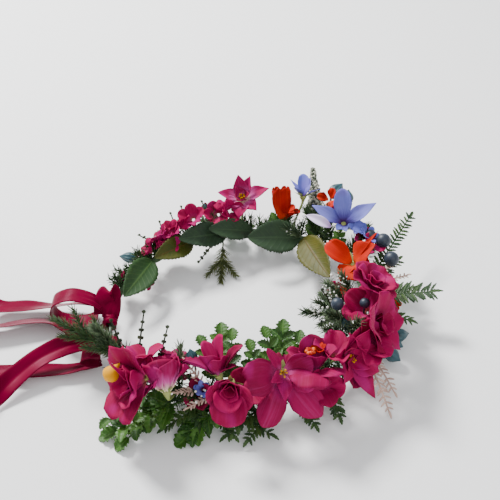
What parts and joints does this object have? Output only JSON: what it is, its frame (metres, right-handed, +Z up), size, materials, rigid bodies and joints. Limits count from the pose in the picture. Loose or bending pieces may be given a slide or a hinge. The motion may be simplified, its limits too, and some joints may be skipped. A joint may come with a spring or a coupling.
{
  "type": "flower crown",
  "caption": "Oval taped-wire hair crown covered with fabric blooms, leaves and sprigs, left bare at one side, where two knotted satin ribbons trail out.",
  "frame": {"origin": "centre of the oval head opening, at the height of the surface that the crown lies on", "axes": "+Z straight up out of the ring's plane; -X towards the bare stretch of wire where the ribbons are tied; the ring's long axis is turned 28 degrees from +X towards +Y"},
  "size_m": [0.3837, 0.2473, 0.0629],
  "materials": {
    "wire": "thin brown enamelled stem wire",
    "floral_tape": "waxed crepe paper tape, matte green brown",
    "magenta_petal": "dyed polyester petal cloth, soft matte with fine veins",
    "blue_petal": "dyed polyester petal cloth, periwinkle to violet",
    "orange_petal": "dyed polyester petal cloth, orange red",
    "calyx": "moulded soft plastic stem and calyx",
    "rose_leaf": "pressed leaf cloth with raised veins, dark green",
    "olive_leaf": "pressed leaf cloth with raised veins, olive",
    "herb_leaf": "thin moulded leaf, bright green",
    "sprig": "moulded needles and fronds, grey green",
    "teal_bud": "powdered teal bud",
    "navy_berry": "dark berry with a soft gloss",
    "yellow_bud": "flocked yellow bud",
    "satin_ribbon": "crimson satin ribbon, woven along its length"
  },
  "bodies": {
    "crown": {"bloom_10_petals": "magenta_petal", "bloom_10_stem": "calyx", "bloom_11_petals": "magenta_petal", "bloom_11_stem": "calyx", "bloom_12_petals": "magenta_petal", "bloom_1_petals": "magenta_petal", "bloom_1_stem": "calyx", "bloom_2_petals": "magenta_petal", "bloom_2_stem": "calyx", "bloom_3_petals": "magenta_petal", "bloom_4_petals": "magenta_petal", "bloom_4_stem": "calyx", "bloom_5_petals": "magenta_petal", "bloom_5_stem": "calyx", "bloom_6_petals": "magenta_petal", "bloom_6_stem": "calyx", "bloom_7_petals": "magenta_petal", "bloom_7_stem": "calyx", "bloom_8_petals": "magenta_petal", "bloom_8_stem": "calyx", "bloom_9_petals": "magenta_petal", "bloom_9_stem": "calyx", "blue_flower_1_petals": "blue_petal", "blue_flower_1_stem": "calyx", "blue_flower_2_petals": "blue_petal", "blue_flower_2_stem": "calyx", "fern_frond_1": "sprig", "fern_frond_2": "sprig", "frame_wire": "wire", "heather_sprig": "sprig", "herb_spray_back": "herb_leaf", "herb_spray_front": "herb_leaf", "herb_spray_inner_1": "herb_leaf", "herb_spray_inner_2": "herb_leaf", "herb_spray_left": "herb_leaf", "inner_sprig_back": "sprig", "inner_sprig_right": "sprig", "navy_berry": "navy_berry", "orange_flower_1_petals": "orange_petal", "orange_flower_1_stem": "calyx", "orange_flower_2_petals": "orange_petal", "pine_sprig": "sprig", "rose_leaf_1": "rose_leaf", "rose_leaf_2": "olive_leaf", "rose_leaf_3": "rose_leaf", "rose_leaf_4": "rose_leaf", "rose_leaf_5": "rose_leaf", "rose_leaf_6": "olive_leaf", "tape_wrap": "floral_tape", "teal_bud_back": "teal_bud", "teal_bud_right": "teal_bud", "yellow_bud": "yellow_bud"},
    "ribbon_a": {"ribbon_a_bow": "satin_ribbon", "ribbon_a_knot": "satin_ribbon", "ribbon_a_tail_1": "satin_ribbon", "ribbon_a_tail_2": "satin_ribbon"},
    "ribbon_b": {"ribbon_b_bow": "satin_ribbon", "ribbon_b_knot": "satin_ribbon", "ribbon_b_tail_1": "satin_ribbon", "ribbon_b_tail_2": "satin_ribbon"}
  },
  "joints": [
    {"name": "ribbon_a_turn", "type": "hinge", "parent": "crown", "child": "ribbon_a", "pos_m": [-0.09088, -0.01684, 0.018], "axis": [-0.0781, 0.9969, 0], "range_deg": [0, 75]},
    {"name": "ribbon_b_turn", "type": "hinge", "parent": "crown", "child": "ribbon_b", "pos_m": [-0.0861, -0.03744, 0.018], "axis": [-0.3714, 0.9285, 0], "range_deg": [0, 10]}
  ]
}
